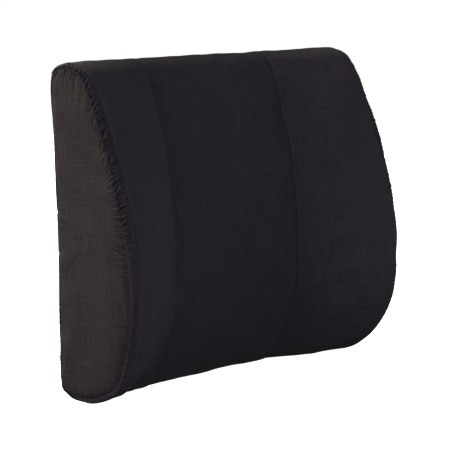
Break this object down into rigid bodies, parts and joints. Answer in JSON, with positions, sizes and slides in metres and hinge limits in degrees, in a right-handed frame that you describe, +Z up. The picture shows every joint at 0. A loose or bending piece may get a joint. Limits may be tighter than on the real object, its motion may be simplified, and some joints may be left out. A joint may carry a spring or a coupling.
{
  "type": "lumbar support cushion",
  "caption": "Upright lumbar cushion: contoured foam core with scooped front and flat boarded back, sewn zip-off cover and elastic chair strap.",
  "frame": {"origin": "on the surface that the cushion stands on, under the middle of its bounding box", "axes": "+Z up, -Y out of the scooped front that the sitter leans on, +Y out of the flat back towards the chair, +X along the width"},
  "size_m": [0.362, 0.128, 0.328],
  "materials": {
    "cover_fabric": "matte",
    "foam": "matte",
    "hardboard": "matte",
    "zip_tape": "matte",
    "zip_nylon": "satin",
    "zip_metal": "satin",
    "elastic": "matte"
  },
  "bodies": {
    "cushion": {"foam_core": "foam", "stiffener_board": "hardboard", "front_center_panel": "cover_fabric", "left_wing_panel": "cover_fabric", "right_wing_panel": "cover_fabric", "left_side_panel": "cover_fabric", "right_side_panel": "cover_fabric", "back_upper_panel": "cover_fabric", "back_lower_panel": "cover_fabric", "zipper_left_end_tab": "cover_fabric", "zipper_right_end_tab": "cover_fabric", "zipper_upper_tape": "zip_tape", "zipper_lower_tape": "zip_tape", "zipper_upper_coil": "zip_nylon", "zipper_lower_coil": "zip_nylon", "zipper_top_stop": "zip_metal", "zipper_bottom_stop": "zip_metal", "strap_left_end": "elastic", "strap_right_end": "elastic"},
    "zipper_slider": {"zipper_slider": "zip_metal"},
    "zipper_pull_tab": {"zipper_pull_tab": "zip_metal"},
    "strap": {"strap_middle": "elastic"}
  },
  "joints": [
    {"name": "zipper_slide", "type": "slide", "parent": "cushion", "child": "zipper_slider", "axis": [-1, 0, 0], "range_m": [0, 0.28]},
    {"name": "pull_tab", "type": "hinge", "parent": "zipper_slider", "child": "zipper_pull_tab", "pos_m": [0.14, 0.06209, 0.042], "axis": [0, 0, -1], "range_deg": [0, 170]},
    {"name": "strap_pull", "type": "slide", "parent": "cushion", "child": "strap", "axis": [0, 1, 0], "range_m": [0, 0.1], "stiffness_N_per_m": 80}
  ]
}
